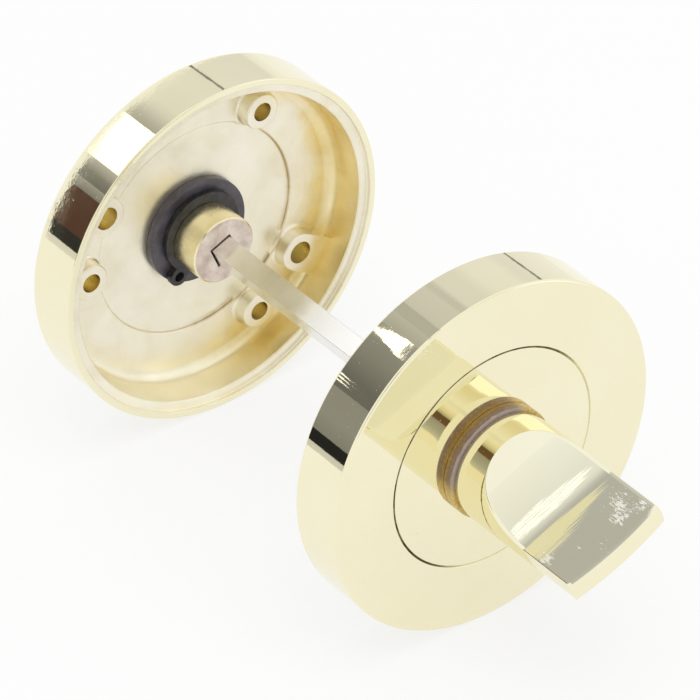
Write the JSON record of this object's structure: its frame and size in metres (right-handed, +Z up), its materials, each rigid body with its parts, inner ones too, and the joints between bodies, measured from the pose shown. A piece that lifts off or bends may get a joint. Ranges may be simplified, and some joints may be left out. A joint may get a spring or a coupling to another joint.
{
  "type": "bathroom thumb turn lock",
  "caption": "Round bathroom thumb turn set: a rose with a scooped blade turn, a square spindle, and a rose with a coin-slotted release.",
  "frame": {"origin": "middle of the door face of the thumb turn's rose, on the axis of the spindle", "axes": "+Y along the spindle from the room to the corridor, +Z up, +X to the right as seen from the room"},
  "size_m": [0.052, 0.0969, 0.052],
  "materials": {
    "rose_plating": "polished pale gold plating",
    "turn_plating": "polished pale gold plating",
    "nylon": "translucent brown",
    "washer_black": "dull black",
    "spring_steel": "blackened and oiled",
    "zinc_steel": "zinc plated"
  },
  "bodies": {
    "roses": {"turn_rose": "rose_plating", "release_rose": "rose_plating", "turn_face_washer": "nylon", "turn_back_washer": "washer_black", "release_face_washer": "nylon", "release_back_washer": "washer_black"},
    "turning_set": {"thumb_turn": "turn_plating", "turn_circlip": "spring_steel", "spindle": "zinc_steel", "spindle_pin": "spring_steel", "release_turn": "turn_plating", "release_circlip": "spring_steel"}
  },
  "joints": [
    {"name": "quarter_turn", "type": "hinge", "parent": "roses", "child": "turning_set", "pos_m": [0, 0, 0], "axis": [0, -1, 0], "range_deg": [-22.5, 67.5]}
  ]
}
